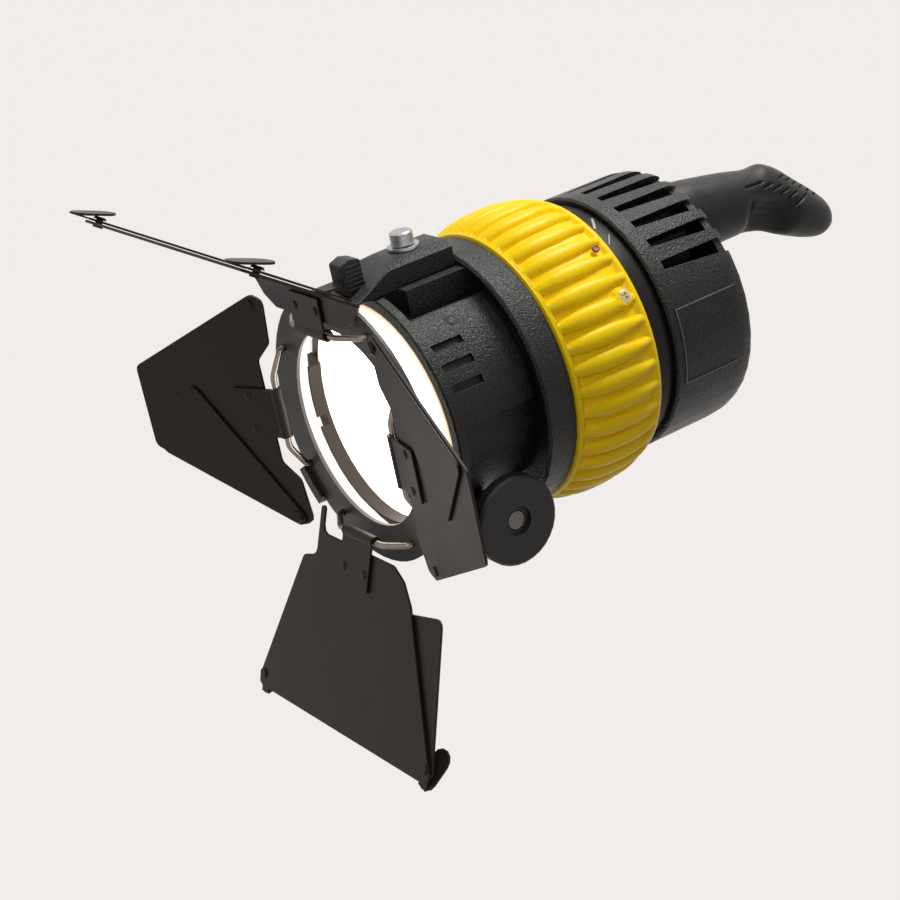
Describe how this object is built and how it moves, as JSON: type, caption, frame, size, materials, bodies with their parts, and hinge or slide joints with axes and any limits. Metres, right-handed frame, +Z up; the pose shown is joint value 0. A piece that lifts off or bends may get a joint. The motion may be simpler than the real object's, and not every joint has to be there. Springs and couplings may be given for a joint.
{
  "type": "led studio spotlight",
  "caption": "Compact studio spotlight with a yellow focusing ring, rear grip, side stand receiver and a rotating four-leaf barndoor with corner flaps.",
  "frame": {"origin": "centre of the mouth of the 16 mm stand receiver, which holds the lamp up", "axes": "+Z up, the light leaves towards -Y, the lamp head stands on the +X side of the receiver"},
  "size_m": [0.2081, 0.2997, 0.2112],
  "materials": {
    "textured_black": "textured powder coat",
    "satin_black_sheet": "satin",
    "grip_black": "matte",
    "glossy_yellow": "gloss",
    "polished_steel": "polished",
    "aluminium": "satin",
    "lens_glass": "clear",
    "board_white": "satin",
    "led_phosphor": "satin",
    "brass": "satin"
  },
  "bodies": {
    "mount": {"stand_mount": "textured_black", "tilt_bolt": "polished_steel", "friction_washer": "brass", "tilt_spacer": "polished_steel"},
    "spigot_screw": {"spigot_screw": "polished_steel"},
    "tilt_knob": {"tilt_knob": "textured_black"},
    "head": {"front_housing": "textured_black", "front_rim": "textured_black", "front_lens": "lens_glass", "lens_retainer": "satin_black_sheet", "spill_shield": "aluminium", "accessory_arm": "textured_black", "arm_screw": "polished_steel", "arm_washer": "polished_steel", "latch_post": "polished_steel", "latch_spring": "polished_steel", "neck_collar": "textured_black", "rear_housing": "textured_black", "heat_sink": "aluminium", "led_board": "board_white", "led_emitter": "led_phosphor", "rear_cover": "textured_black", "handle": "grip_black", "handle_screw_upper": "polished_steel", "handle_screw_lower": "polished_steel", "power_inlet": "polished_steel"},
    "focus_ring": {"focus_ring": "glossy_yellow", "focus_ring_screw": "polished_steel"},
    "lens_carriage": {"lens_carriage": "aluminium", "inner_lens": "lens_glass", "drive_pin_near": "polished_steel", "drive_pin_far": "polished_steel"},
    "latch": {"latch_knob": "textured_black"},
    "barndoor": {"barndoor_ring": "satin_black_sheet", "hinge_wire_top": "polished_steel", "hinge_wire_bottom": "polished_steel", "hinge_wire_left": "polished_steel", "hinge_wire_right": "polished_steel"},
    "leaf_top": {"leaf_top": "satin_black_sheet", "leaf_clip_top": "satin_black_sheet"},
    "flap_top_a": {"flap_top_a": "satin_black_sheet"},
    "flap_top_b": {"flap_top_b": "satin_black_sheet"},
    "leaf_bottom": {"leaf_bottom": "satin_black_sheet", "leaf_clip_bottom": "satin_black_sheet"},
    "flap_bottom_a": {"flap_bottom_a": "satin_black_sheet"},
    "flap_bottom_b": {"flap_bottom_b": "satin_black_sheet"},
    "leaf_left": {"leaf_left": "satin_black_sheet", "leaf_clip_left": "satin_black_sheet"},
    "flap_left_a": {"flap_left_a": "satin_black_sheet"},
    "flap_left_b": {"flap_left_b": "satin_black_sheet"},
    "leaf_right": {"leaf_right": "satin_black_sheet", "leaf_clip_right": "satin_black_sheet"},
    "flap_right_a": {"flap_right_a": "satin_black_sheet"},
    "flap_right_b": {"flap_right_b": "satin_black_sheet"}
  },
  "joints": [
    {"name": "head_tilt", "type": "hinge", "parent": "mount", "child": "head", "pos_m": [0.07, 0, 0.0285], "axis": [1, 0, 0], "range_deg": [-45, 90]},
    {"name": "spigot_screw_turn", "type": "hinge", "parent": "mount", "child": "spigot_screw", "pos_m": [-0.02, 0, 0.015], "axis": [1, 0, 0], "continuous": true},
    {"name": "tilt_knob_turn", "type": "hinge", "parent": "mount", "child": "tilt_knob", "pos_m": [0.109, 0, 0.0285], "axis": [1, 0, 0], "continuous": true},
    {"name": "focus_turn", "type": "hinge", "parent": "head", "child": "focus_ring", "pos_m": [0.07, 0.02895, 0.0684], "axis": [0, 1, 0], "range_deg": [0, 120]},
    {"name": "lens_travel", "type": "slide", "parent": "head", "child": "lens_carriage", "axis": [0, 1, 0], "range_m": [-0.02, 0]},
    {"name": "latch_lift", "type": "slide", "parent": "head", "child": "latch", "axis": [0, 0, 1], "range_m": [0, 0.003], "stiffness_N_per_m": 600, "springref_m": -0.002},
    {"name": "barndoor_turn", "type": "hinge", "parent": "head", "child": "barndoor", "pos_m": [0.07, -0.03345, 0.0684], "axis": [0, 1, 0], "continuous": true},
    {"name": "leaf_top_fold", "type": "hinge", "parent": "barndoor", "child": "leaf_top", "pos_m": [0.07, -0.04075, 0.1093], "axis": [-1, 0, 0], "range_deg": [-46.3, 3.7]},
    {"name": "flap_top_a_swing", "type": "hinge", "parent": "leaf_top", "child": "flap_top_a", "pos_m": [0.1277, -0.08592, 0.1562], "axis": [0, -0.5678, -0.8231], "range_deg": [0, 30]},
    {"name": "flap_top_b_swing", "type": "hinge", "parent": "leaf_top", "child": "flap_top_b", "pos_m": [0.0123, -0.08592, 0.1562], "axis": [0, 0.5678, 0.8231], "range_deg": [0, 30]},
    {"name": "leaf_bottom_fold", "type": "hinge", "parent": "barndoor", "child": "leaf_bottom", "pos_m": [0.07, -0.04075, 0.0275], "axis": [1, 0, 0], "range_deg": [-68.8, 26.2]},
    {"name": "flap_bottom_a_swing", "type": "hinge", "parent": "leaf_bottom", "child": "flap_bottom_a", "pos_m": [0.0123, -0.06635, -0.03851], "axis": [0, -0.9323, 0.3616], "range_deg": [0, 30]},
    {"name": "flap_bottom_b_swing", "type": "hinge", "parent": "leaf_bottom", "child": "flap_bottom_b", "pos_m": [0.1277, -0.06635, -0.03851], "axis": [0, 0.9323, -0.3616], "range_deg": [-17.6, 12.4]},
    {"name": "leaf_left_fold", "type": "hinge", "parent": "barndoor", "child": "leaf_left", "pos_m": [0.0291, -0.04075, 0.0684], "axis": [0, 0, -1], "range_deg": [-56.1, 28.9]},
    {"name": "flap_left_a_swing", "type": "hinge", "parent": "leaf_left", "child": "flap_left_a", "pos_m": [0.02636, -0.04197, 0.112], "axis": [-0.4051, 0.9143, 0], "range_deg": [0, 30]},
    {"name": "flap_left_b_swing", "type": "hinge", "parent": "leaf_left", "child": "flap_left_b", "pos_m": [0.02636, -0.04197, 0.0248], "axis": [0.4051, -0.9143, 0], "range_deg": [0, 30]},
    {"name": "leaf_right_fold", "type": "hinge", "parent": "barndoor", "child": "leaf_right", "pos_m": [0.1109, -0.04075, 0.0684], "axis": [0, 0, 1], "range_deg": [-69.5, 15.5]},
    {"name": "flap_right_a_swing", "type": "hinge", "parent": "leaf_right", "child": "flap_right_a", "pos_m": [0.12516, -0.04339, 0.03029], "axis": [0.1822, 0.9833, 0], "range_deg": [0, 30]},
    {"name": "flap_right_b_swing", "type": "hinge", "parent": "leaf_right", "child": "flap_right_b", "pos_m": [0.11385, -0.0413, 0.112], "axis": [-0.1822, -0.9833, 0], "range_deg": [0, 30]}
  ],
  "couplings": [
    {"joint": "lens_travel", "follows": "focus_turn", "m_per_rad": -0.0095493}
  ]
}
